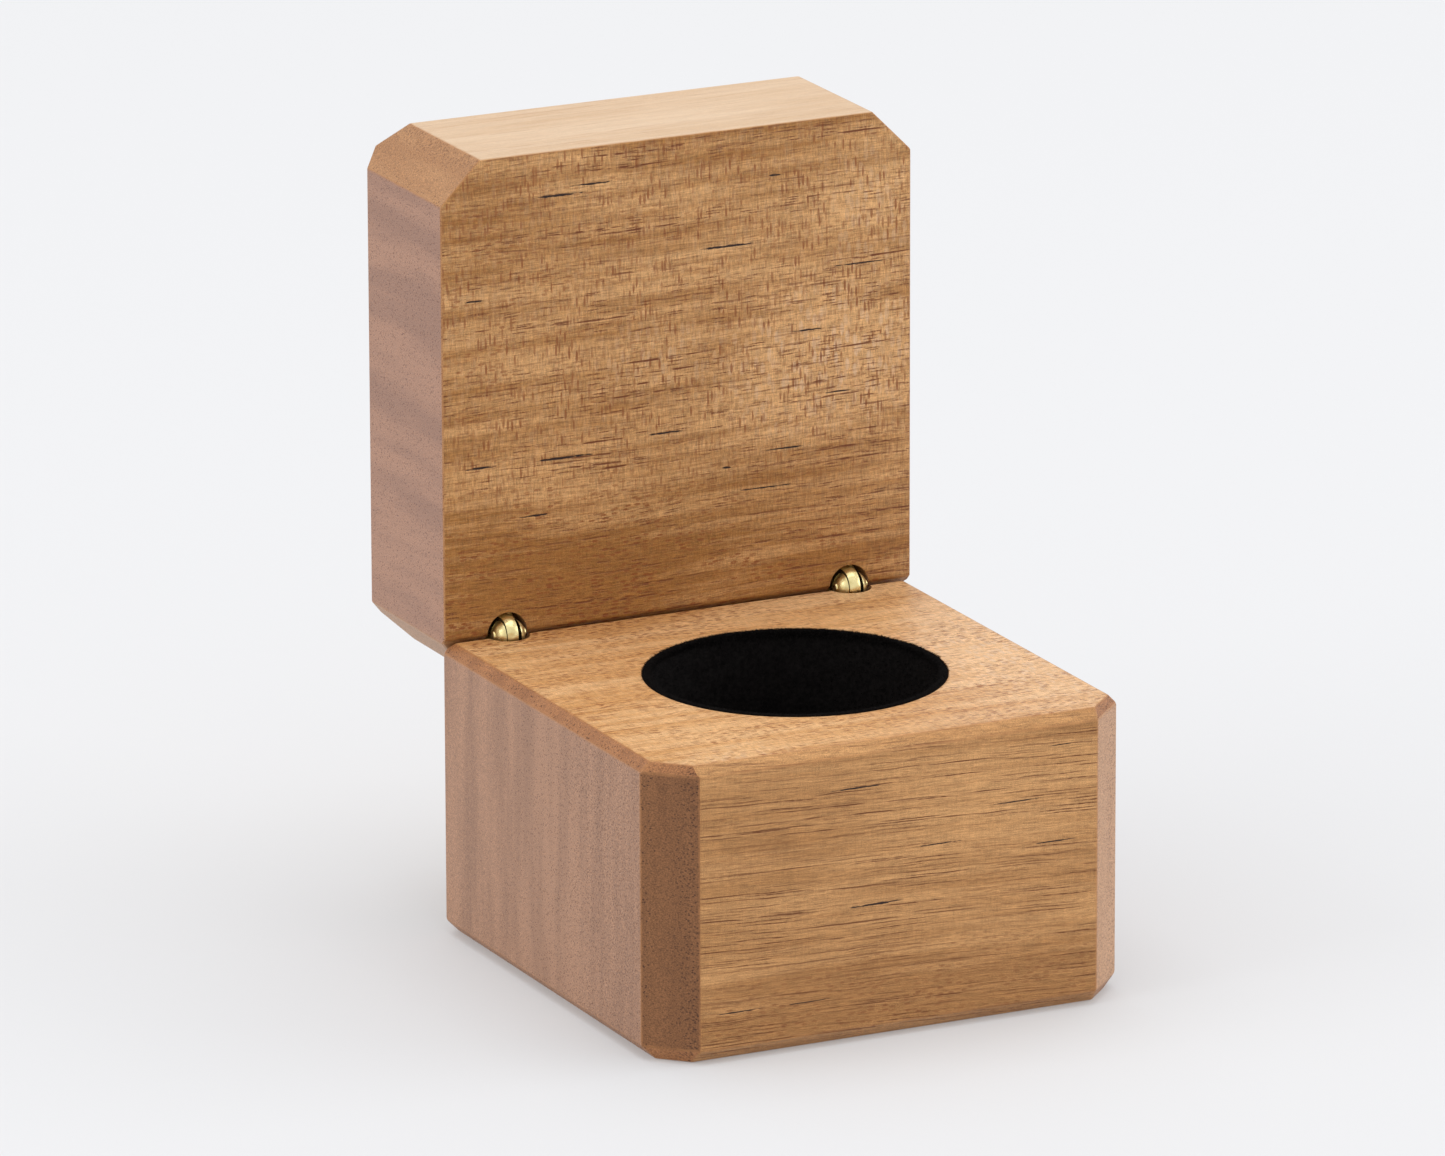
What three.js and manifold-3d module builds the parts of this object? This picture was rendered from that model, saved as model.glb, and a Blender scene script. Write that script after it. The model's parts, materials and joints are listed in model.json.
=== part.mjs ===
// Hinged wooden ring box: a bored base block, a solid lid block and two small brass barrel hinges.
// Millimetres, +Z up, +Y towards the hinges. The origin is the centre of the base's underside.
// The box is modelled with its lid open at a right angle, resting on its back mitre.

import * as THREE from 'three';
import { mergeVertices } from 'three/addons/utils/BufferGeometryUtils.js';
import Module from 'manifold-3d';

// ---- blocks ----
const boxWidth = 60;
const boxDepth = 62;
const baseHeight = 35;
const lidThickness = 25;
const cornerLeg = 5; // 45-degree bevel down all four upright corners
const baseTopChamfer = 1.2;
const baseFootChamfer = 1.7;
const cornerFacetSlope = 0.6; // how far a corner facet leans in for each millimetre it rises
const lidSideChamfer = 4.8;
const lidEndChamfer = 5.8; // front and back edges of the lid's outer face

// ---- lined well for the ring ----
const wellDiameter = 35;
const wellDepth = 24;
const wellShiftX = 0.9; // the well is bored a little to the right of the middle
const wellToFront = 28.4; // from the well's axis to the front face
const liningThickness = 0.8;
const liningGap = 0.3;
const liningBelowRim = 0.2;

// ---- barrel hinges ----
const pivotInset = 5.4; // from the back face to the hinge axis
const closedGap = 0.3; // between the two blocks when the lid is down
const mitreGap = 0.5; // between the two back mitres when the lid is up
const hingeSpacing = 44;
const barrelDiameter = 4.6;
const barrelLength = 10; // from the hinge axis to the barrel's far end
const barrelClearance = 0.2; // around a barrel in its hole
const knuckleDiameter = 4.2;
const knuckleClearance = 0.3; // between a knuckle and the shoulder it turns past
const tongueThickness = 1.3;
const tongueClearance = 0.3;
const pinDiameter = 1.2;
const pinClearance = 0.1;
const pinRecess = 0.05; // how far a pin's ends stop short of the knuckle's sides
const barrelEndChamfer = 0.4;

// ---- values that follow from them ----
const halfWidth = boxWidth / 2;
const halfDepth = boxDepth / 2;
const pivotY = halfDepth - pivotInset;
const pivotZ = baseHeight + closedGap / 2;
const mitreStart = closedGap / 2 - mitreGap / Math.SQRT2; // from the hinge axis to a back mitre's edge
const mitreLeg = pivotInset - mitreStart; // from that edge to the back face
const wellY = -halfDepth + wellToFront;
const knuckleRadius = knuckleDiameter / 2;
const barrelRadius = barrelDiameter / 2;
const widestRadius = Math.max(barrelRadius, knuckleRadius);
const shoulder = widestRadius + knuckleClearance; // from the hinge axis to a barrel's shoulder
const holeRadius = widestRadius + barrelClearance;
const boreSegments = 96;
const barrelSegments = 48;
const pinSegments = 32;
const domeSegments = 10;
const overshoot = 2; // how far a cutter runs past the face it cuts

const wasm = await Module();
wasm.setup();

function toSolid(geometry) {
  const bare = new THREE.BufferGeometry();
  bare.setAttribute('position', geometry.getAttribute('position'));
  if (geometry.index) bare.setIndex(geometry.index);
  const merged = mergeVertices(bare, 1e-5);
  return new wasm.Manifold(new wasm.Mesh({
    numProp: 3,
    vertProperties: new Float32Array(merged.getAttribute('position').array),
    triVerts: new Uint32Array(merged.index.array),
  }));
}

function toGeometry(solid) {
  const mesh = solid.getMesh();
  const geometry = new THREE.BufferGeometry();
  geometry.setAttribute('position', new THREE.BufferAttribute(new Float32Array(mesh.vertProperties), 3));
  geometry.setIndex(new THREE.BufferAttribute(new Uint32Array(mesh.triVerts), 1));
  geometry.computeVertexNormals();
  return geometry;
}

// A flat outline, given as [x, y] pairs, pushed a length along +Z.
function prism(outline, length) {
  const shape = new THREE.Shape(outline.map(([x, y]) => new THREE.Vector2(x, y)));
  return new THREE.ExtrudeGeometry(shape, { depth: length, bevelEnabled: false });
}

// An outline drawn across X (as x, z) and run along Y, centred on Y.
function runAlongY(outline, length) {
  const geometry = prism(outline, length);
  geometry.rotateX(Math.PI / 2);
  geometry.translate(0, length / 2, 0);
  return geometry;
}

// An outline drawn across Y (as y, z) and run along X, centred on X.
function runAlongX(outline, length) {
  const geometry = prism(outline, length);
  geometry.rotateX(Math.PI / 2);
  geometry.rotateZ(Math.PI / 2);
  geometry.translate(-length / 2, 0, 0);
  return geometry;
}

function cylinder(radius, bottom, top, segments) {
  const geometry = new THREE.CylinderGeometry(radius, radius, top - bottom, segments);
  geometry.rotateX(Math.PI / 2);
  geometry.translate(0, 0, (top + bottom) / 2);
  return geometry;
}

function slab(width, depth, bottom, top) {
  const geometry = new THREE.BoxGeometry(width, depth, top - bottom);
  geometry.translate(0, 0, (top + bottom) / 2);
  return geometry;
}

function part(name, geometry, material) {
  const mesh = new THREE.Mesh(geometry, material);
  mesh.name = name;
  return mesh;
}

// The plan of both blocks: a rectangle from y = front to y = back with its corners bevelled.
function plan(front, back) {
  return [
    [-halfWidth + cornerLeg, front], [halfWidth - cornerLeg, front],
    [halfWidth, front + cornerLeg], [halfWidth, back - cornerLeg],
    [halfWidth - cornerLeg, back], [-halfWidth + cornerLeg, back],
    [-halfWidth, back - cornerLeg], [-halfWidth, front + cornerLeg],
  ];
}

// A round-nosed barrel standing along Z, with the hinge axis at the origin and its body below.
function barrelBlank() {
  const profile = [
    new THREE.Vector2(0, -barrelLength),
    new THREE.Vector2(barrelRadius - barrelEndChamfer, -barrelLength),
    new THREE.Vector2(barrelRadius, -barrelLength + barrelEndChamfer),
    new THREE.Vector2(barrelRadius, -shoulder),
    new THREE.Vector2(knuckleRadius, -shoulder),
  ];
  for (let i = 0; i <= domeSegments; i += 1) {
    const angle = (i / domeSegments) * Math.PI / 2;
    const radius = i === domeSegments ? 0 : knuckleRadius * Math.cos(angle);
    profile.push(new THREE.Vector2(radius, knuckleRadius * Math.sin(angle)));
  }
  const geometry = new THREE.LatheGeometry(profile, barrelSegments);
  geometry.rotateX(Math.PI / 2);
  return toSolid(geometry);
}

function pinHole() {
  const geometry = cylinder(pinDiameter / 2 + pinClearance, -holeRadius, holeRadius, pinSegments);
  geometry.rotateY(Math.PI / 2);
  return toSolid(geometry);
}

// The base's half of a hinge: two cheeks with a slot between them.
function forkBarrel() {
  const slotWidth = tongueThickness + 2 * tongueClearance;
  const slot = toSolid(slab(slotWidth, knuckleDiameter + overshoot, -shoulder, knuckleRadius + overshoot));
  return barrelBlank().subtract(slot).subtract(pinHole());
}

// The lid's half: one tongue that turns in the slot. Its body points up when the lid is down.
function tongueBarrel() {
  let solid = barrelBlank();
  for (const side of [-1, 1]) {
    const waste = slab(knuckleDiameter, knuckleDiameter + overshoot, -shoulder, knuckleRadius + overshoot);
    waste.translate(side * (tongueThickness + knuckleDiameter) / 2, 0, 0);
    solid = solid.subtract(toSolid(waste));
  }
  solid = solid.subtract(pinHole());
  return solid.rotate([180, 0, 0]);
}

function hingePin() {
  const halfLength = Math.sqrt(knuckleRadius ** 2 - (pinDiameter / 2) ** 2) - pinRecess;
  const geometry = cylinder(pinDiameter / 2, -halfLength, halfLength, pinSegments);
  geometry.rotateY(Math.PI / 2);
  return geometry;
}

// A round hole for a barrel and its knuckle. It opens upwards, or downwards where turned over.
function barrelHole(x, y, z, turnedOver) {
  const bottom = -barrelLength - barrelClearance;
  const geometry = cylinder(holeRadius, bottom, knuckleRadius + overshoot, barrelSegments);
  if (turnedOver) geometry.rotateX(Math.PI);
  geometry.translate(x, y, z);
  return toSolid(geometry);
}

const hingeXs = [-hingeSpacing / 2, hingeSpacing / 2];

function baseBlock() {
  const across = runAlongY([
    [-halfWidth + baseFootChamfer, 0], [halfWidth - baseFootChamfer, 0],
    [halfWidth, baseFootChamfer], [halfWidth, baseHeight - baseTopChamfer],
    [halfWidth - baseTopChamfer, baseHeight], [-halfWidth + baseTopChamfer, baseHeight],
    [-halfWidth, baseHeight - baseTopChamfer], [-halfWidth, baseFootChamfer],
  ], boxDepth + overshoot);
  const mitreTop = pivotY + mitreStart;
  const along = runAlongX([
    [-halfDepth + baseFootChamfer, 0], [halfDepth - baseFootChamfer, 0],
    [halfDepth, baseFootChamfer], [halfDepth, baseHeight - mitreLeg],
    [mitreTop, baseHeight], [-halfDepth + baseTopChamfer, baseHeight],
    [-halfDepth, baseHeight - baseTopChamfer], [-halfDepth, baseFootChamfer],
  ], boxWidth + overshoot);
  let solid = toSolid(prism(plan(-halfDepth, halfDepth), baseHeight));
  solid = solid.intersect(toSolid(across)).intersect(toSolid(along));
  // Small facets where the corner bevels meet the top and the underside.
  const reach = (halfWidth + halfDepth - cornerLeg) / Math.SQRT2;
  const topLean = baseTopChamfer * cornerFacetSlope;
  const footLean = baseFootChamfer * cornerFacetSlope;
  for (const turn of [Math.PI / 4, -Math.PI / 4]) {
    const facets = runAlongY([
      [-reach + footLean, 0], [reach - footLean, 0],
      [reach, baseFootChamfer], [reach, baseHeight - baseTopChamfer],
      [reach - topLean, baseHeight], [-reach + topLean, baseHeight],
      [-reach, baseHeight - baseTopChamfer], [-reach, baseFootChamfer],
    ], boxWidth + boxDepth);
    facets.rotateZ(turn);
    solid = solid.intersect(toSolid(facets));
  }
  const well = cylinder(wellDiameter / 2, baseHeight - wellDepth, baseHeight + overshoot, boreSegments);
  well.translate(wellShiftX, wellY, 0);
  solid = solid.subtract(toSolid(well));
  for (const x of hingeXs) solid = solid.subtract(barrelHole(x, pivotY, pivotZ, false));
  return toGeometry(solid);
}

// The lid with its mating face down, as it lies when shut, measured from the hinge axis.
function lidBlock() {
  const front = -boxDepth + pivotInset;
  const back = pivotInset;
  const under = closedGap / 2;
  const top = under + lidThickness;
  const body = prism(plan(front, back), lidThickness);
  body.translate(0, 0, under);
  const across = runAlongY([
    [-halfWidth, under], [halfWidth, under], [halfWidth, top - lidSideChamfer],
    [halfWidth - lidSideChamfer, top], [-halfWidth + lidSideChamfer, top],
    [-halfWidth, top - lidSideChamfer],
  ], 2 * boxDepth + overshoot);
  const along = runAlongX([
    [front, under], [mitreStart, under], [back, under + mitreLeg],
    [back, top - lidEndChamfer], [back - lidEndChamfer, top],
    [front + lidEndChamfer, top], [front, top - lidEndChamfer],
  ], boxWidth + overshoot);
  let solid = toSolid(body).intersect(toSolid(across)).intersect(toSolid(along));
  for (const x of hingeXs) solid = solid.subtract(barrelHole(x, 0, 0, true));
  return toGeometry(solid);
}

function flockLining() {
  const outer = wellDiameter / 2 - liningGap;
  const inner = outer - liningThickness;
  const bottom = baseHeight - wellDepth + liningGap;
  const top = baseHeight - liningBelowRim;
  const profile = [
    new THREE.Vector2(0, bottom), new THREE.Vector2(outer, bottom), new THREE.Vector2(outer, top),
    new THREE.Vector2(inner, top), new THREE.Vector2(inner, bottom + liningThickness),
    new THREE.Vector2(0, bottom + liningThickness),
  ];
  const geometry = new THREE.LatheGeometry(profile, boreSegments);
  geometry.rotateX(Math.PI / 2);
  geometry.translate(wellShiftX, wellY, 0);
  return toGeometry(toSolid(geometry));
}

const wood = () => new THREE.MeshStandardMaterial({ color: 0xb98350, roughness: 0.5, metalness: 0 });
const brass = () => new THREE.MeshStandardMaterial({ color: 0xd9b45a, roughness: 0.18, metalness: 1 });
const flock = () => new THREE.MeshStandardMaterial({ color: 0x0b0a0b, roughness: 1, metalness: 0 });

const box = new THREE.Group();
box.add(part('base_block', baseBlock(), wood()));
box.add(part('flock_lining', flockLining(), flock()));

const lid = new THREE.Group();
lid.position.set(0, pivotY, pivotZ);
lid.rotation.x = -Math.PI / 2;
lid.add(part('lid_block', lidBlock(), wood()));
box.add(lid);

['left', 'right'].forEach((side, i) => {
  const fork = part(`hinge_base_barrel_${side}`, toGeometry(forkBarrel()), brass());
  fork.position.set(hingeXs[i], pivotY, pivotZ);
  box.add(fork);
  const pin = part(`hinge_pin_${side}`, hingePin(), brass());
  pin.position.set(hingeXs[i], pivotY, pivotZ);
  box.add(pin);
  const tongue = part(`hinge_lid_barrel_${side}`, toGeometry(tongueBarrel()), brass());
  tongue.position.set(hingeXs[i], 0, 0);
  lid.add(tongue);
});

export default box;
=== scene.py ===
import bpy
import bmesh
import json
from math import cos, exp, pi, radians, sin
from random import Random
from mathutils import Euler, Matrix, Vector


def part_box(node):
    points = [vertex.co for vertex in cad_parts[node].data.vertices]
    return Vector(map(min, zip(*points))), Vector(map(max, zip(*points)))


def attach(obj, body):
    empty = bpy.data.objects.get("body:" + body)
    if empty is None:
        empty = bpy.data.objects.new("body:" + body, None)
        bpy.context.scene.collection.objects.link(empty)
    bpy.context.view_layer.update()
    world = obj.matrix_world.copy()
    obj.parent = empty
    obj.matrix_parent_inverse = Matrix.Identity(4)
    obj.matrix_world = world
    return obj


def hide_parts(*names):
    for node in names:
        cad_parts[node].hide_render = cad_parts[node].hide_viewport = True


# A small hardwood ring box with its lid open: eased and oiled blocks, a flocked well, brass barrel hinges.
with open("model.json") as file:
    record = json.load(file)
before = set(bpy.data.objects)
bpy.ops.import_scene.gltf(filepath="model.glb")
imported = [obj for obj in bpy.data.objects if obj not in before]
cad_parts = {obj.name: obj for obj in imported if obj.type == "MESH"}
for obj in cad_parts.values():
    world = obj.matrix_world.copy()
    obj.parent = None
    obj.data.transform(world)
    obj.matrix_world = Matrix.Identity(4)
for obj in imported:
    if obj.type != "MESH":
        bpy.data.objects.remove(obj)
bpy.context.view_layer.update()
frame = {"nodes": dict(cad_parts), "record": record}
mm = 0.001
print("frame loaded:", len(frame["nodes"]), "nodes")


def addNode(tree, kind, inputs=None, **settings):
    made = tree.nodes.new(kind)
    for name, value in settings.items():
        setattr(made, name, value)
    for socket, value in (inputs or {}).items():
        if isinstance(value, bpy.types.NodeSocket):
            tree.links.new(value, made.inputs[socket])
        else:
            made.inputs[socket].default_value = value
    return made


def calc(tree, operation, *values, clamp=False):
    made = addNode(tree, "ShaderNodeMath", dict(enumerate(values)), operation=operation, use_clamp=clamp)
    return made.outputs[0]


def vecMath(tree, operation, *values):
    made = addNode(tree, "ShaderNodeVectorMath", dict(enumerate(values)), operation=operation)
    return made.outputs["Value" if operation in ("LENGTH", "DOT_PRODUCT") else "Vector"]


def noiseAt(tree, vector, size, detail=2.0, roughness=0.5, offset=(0.0, 0.0, 0.0)):
    scaled = vecMath(tree, "MULTIPLY_ADD", vector, tuple(1 / s for s in size), offset)
    made = addNode(tree, "ShaderNodeTexNoise", {"Vector": scaled, "Scale": 1.0, "Detail": detail,
                                                "Roughness": roughness})
    return made.outputs["Fac"]


def ramp(tree, value, low, high, bottom=0.0, top=1.0):
    made = addNode(tree, "ShaderNodeMapRange", {"Value": value, "From Min": low, "From Max": high,
                                                "To Min": bottom, "To Max": top},
                   interpolation_type="SMOOTHSTEP")
    return made.outputs["Result"]


def mixColour(tree, factor, first, second, blend="MIX"):
    made = addNode(tree, "ShaderNodeMix", data_type="RGBA", blend_type=blend, clamp_factor=True)
    for index, value in ((0, factor), (6, first), (7, second)):
        if isinstance(value, bpy.types.NodeSocket):
            tree.links.new(value, made.inputs[index])
        else:
            made.inputs[index].default_value = value
    return made.outputs[2]


def grey(tree, level):
    return addNode(tree, "ShaderNodeCombineColor", {"Red": level, "Green": level, "Blue": level}).outputs[0]


def nodeGroup(name, inputs, outputs, kind="ShaderNodeTree"):
    tree = bpy.data.node_groups.new(name, kind)
    for label, socketType, value in inputs:
        made = tree.interface.new_socket(label, in_out="INPUT", socket_type=socketType)
        if value is not None:
            made.default_value = value
    for label, socketType in outputs:
        tree.interface.new_socket(label, in_out="OUTPUT", socket_type=socketType)
    start = tree.nodes.new("NodeGroupInput")
    end = tree.nodes.new("NodeGroupOutput")
    return tree, start.outputs, end.inputs


def useGroup(tree, group, values):
    made = tree.nodes.new(tree.bl_idname.replace("Tree", "Group"))
    made.node_tree = group
    for label, value in values.items():
        if isinstance(value, bpy.types.NodeSocket):
            tree.links.new(value, made.inputs[label])
        else:
            made.inputs[label].default_value = value
    return made.outputs


def colour(red, green, blue):
    return (red, green, blue, 1.0)


def newMaterial(name):
    material = bpy.data.materials.new(name)
    material.use_nodes = True
    tree = material.node_tree
    return material, tree, tree.nodes["Principled BSDF"]


def newPiece(name, mesh, *materials):
    piece = bpy.data.objects.new(name, mesh)
    bpy.context.scene.collection.objects.link(piece)
    for material in materials:
        mesh.materials.append(material)
    return piece


def plainMesh(piece):
    graph = bpy.context.evaluated_depsgraph_get()
    return bpy.data.meshes.new_from_object(piece.evaluated_get(graph), depsgraph=graph)


cameraView = {
    "aim": (10.99, 36.87, 34.60),  # millimetres
    "distance": 1487.3,
    "azimuth": -26.004,
    "elevation": 16.258,
    "roll": -0.161,
    "lens": 316.7,
    "sensor": 36.0,
}


def makeCamera(view):
    data = bpy.data.cameras.new("camera")
    data.lens, data.sensor_width = view["lens"], view["sensor"]
    camera = bpy.data.objects.new("camera", data)
    bpy.context.scene.collection.objects.link(camera)
    turn, lift = radians(view["azimuth"]), radians(view["elevation"])
    back = Vector((sin(turn) * cos(lift), -cos(turn) * cos(lift), sin(lift)))
    aim = Vector(view["aim"]) * mm
    rotation = back.to_track_quat("Z", "Y").to_matrix() @ Matrix.Rotation(radians(view["roll"]), 3, "Z")
    camera.matrix_world = Matrix.Translation(aim + back * view["distance"] * mm) @ rotation.to_4x4()
    bpy.context.scene.camera = camera


studio = {
    "floorRadius": 4.0,
    "floorSegments": 96,
    "floorRoughness": 0.9,
    "floorSpecular": 0.2,
    "floorDrop": 0.00005,  # keeps the floor clear of the block's underside
    "floorColour": colour(0.52, 0.525, 0.54),
    # the floor's own glow: painted light that pales the box's shadow on the floor
    "floorGlow": 0.21,
    "surround": 0.91,
    "seenSurround": 0.87,
    "softboxes": {
        # name: (centre, width, height, watts)
        "overhead": ((0.00, 0.10, 1.90), 1.70, 1.70, 11.0),
        "left": ((-1.90, 0.15, 1.10), 1.50, 0.90, 8.2),
        "right": ((1.75, -0.75, 0.85), 1.50, 0.90, 10.0),
    },
    "softboxAim": (0.0, 0.01, 0.045),
}


def makeStudio(look):
    shape = bmesh.new()
    bmesh.ops.create_circle(shape, cap_ends=True, segments=look["floorSegments"],
                            radius=look["floorRadius"])
    bmesh.ops.translate(shape, verts=shape.verts, vec=(0, 0, -look["floorDrop"]))
    mesh = bpy.data.meshes.new("floor")
    shape.to_mesh(mesh)
    shape.free()
    material, tree, shader = newMaterial("floorPaint")
    shader.inputs["Base Color"].default_value = look["floorColour"]
    shader.inputs["Roughness"].default_value = look["floorRoughness"]
    shader.inputs["Specular IOR Level"].default_value = look["floorSpecular"]
    shader.inputs["Emission Color"].default_value = colour(1.0, 1.0, 1.0)
    shader.inputs["Emission Strength"].default_value = look["floorGlow"]  # the floor glows evenly like a light table: painted light that pales the box's shadow on it and lights the box a little from below
    newPiece("floor", mesh, material)

    world = bpy.data.worlds.new("studio")
    bpy.context.scene.world = world
    world.use_nodes = True
    tree = world.node_tree
    background = tree.nodes["Background"]
    ray = tree.nodes.new("ShaderNodeLightPath")
    level = addNode(tree, "ShaderNodeMapRange", {"Value": ray.outputs["Is Camera Ray"],
                                                 "To Min": look["surround"], "To Max": look["seenSurround"]})
    tree.links.new(level.outputs["Result"], background.inputs["Strength"])
    background.inputs["Color"].default_value = colour(1.0, 1.0, 1.0)

    for name, (centre, width, height, watts) in look["softboxes"].items():
        data = bpy.data.lights.new(name, "AREA")
        data.shape, data.size, data.size_y, data.energy = "RECTANGLE", width, height, watts
        lamp = bpy.data.objects.new(name, data)
        bpy.context.scene.collection.objects.link(lamp)
        away = Vector(centre) - Vector(look["softboxAim"])
        lamp.matrix_world = Matrix.Translation(centre) @ away.to_track_quat("Z", "Y").to_matrix().to_4x4()
    bpy.context.scene.view_settings.view_transform = "Standard"


makeCamera(cameraView)
makeStudio(studio)
print("camera and studio made")


def makeGrainSpace():
    # object coordinates, already turned to the grain, get a slow wave and a small one
    tree, given, out = nodeGroup("grainSpace", [
        ("Vector", "NodeSocketVector", None), ("Slow Wave", "NodeSocketFloat", 0.8),
        ("Small Wave", "NodeSocketFloat", 0.12)], [("Vector", "NodeSocketVector")])
    slow = noiseAt(tree, given["Vector"], (38, 17, 17), detail=1.0)
    small = noiseAt(tree, given["Vector"], (4.5, 1.6, 3.0), detail=1.0)
    slow = calc(tree, "MULTIPLY", calc(tree, "SUBTRACT", slow, 0.5), given["Slow Wave"])
    small = calc(tree, "MULTIPLY", calc(tree, "SUBTRACT", small, 0.5), given["Small Wave"])
    shift = addNode(tree, "ShaderNodeCombineXYZ", {"Y": calc(tree, "ADD", slow, small)}).outputs[0]
    tree.links.new(vecMath(tree, "ADD", given["Vector"], shift), out["Vector"])
    return tree


def makeSpindleMarks():
    # scattered spindles: each cell holds one, as long and wide as Reach times the cell, with its own depth
    tree, given, out = nodeGroup("spindleMarks", [
        ("Vector", "NodeSocketVector", None), ("Cell", "NodeSocketVector", (5.0, 0.4, 1.0)),
        ("Reach", "NodeSocketFloat", 0.2), ("Shift", "NodeSocketVector", (0.0, 0.0, 0.0)),
        ("Ragged", "NodeSocketFloat", 0.15), ("Breaks", "NodeSocketFloat", 0.5)],
        [("Mask", "NodeSocketFloat")])
    laid = vecMath(tree, "ADD", vecMath(tree, "DIVIDE", given["Vector"], given["Cell"]), given["Shift"])
    cells = addNode(tree, "ShaderNodeTexVoronoi", {"Vector": laid, "Scale": 1.0, "Randomness": 1.0},
                    voronoi_dimensions="2D")
    ragged = calc(tree, "SUBTRACT", noiseAt(tree, laid, (0.21, 0.8, 1.0), detail=2.0, roughness=0.7), 0.5)
    away = calc(tree, "MULTIPLY_ADD", ragged, given["Ragged"], cells.outputs["Distance"])
    edge = calc(tree, "SUBTRACT", 1.0, calc(tree, "DIVIDE", away, given["Reach"]))
    depth = addNode(tree, "ShaderNodeSeparateColor", {"Color": cells.outputs["Color"]}).outputs[0]
    gaps = ramp(tree, noiseAt(tree, laid, (0.05, 0.7, 1.0), detail=1.0, offset=(4.4, 1.7, 0.0)), 0.58, 0.38)
    kept = calc(tree, "SUBTRACT", 1.0, calc(tree, "MULTIPLY", gaps, given["Breaks"]))
    whole = calc(tree, "MULTIPLY", ramp(tree, edge, 0.0, 0.4), ramp(tree, depth, 0.0, 0.8, 0.25, 1.0))
    tree.links.new(calc(tree, "MULTIPLY", whole, kept), out["Mask"])
    return tree


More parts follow.
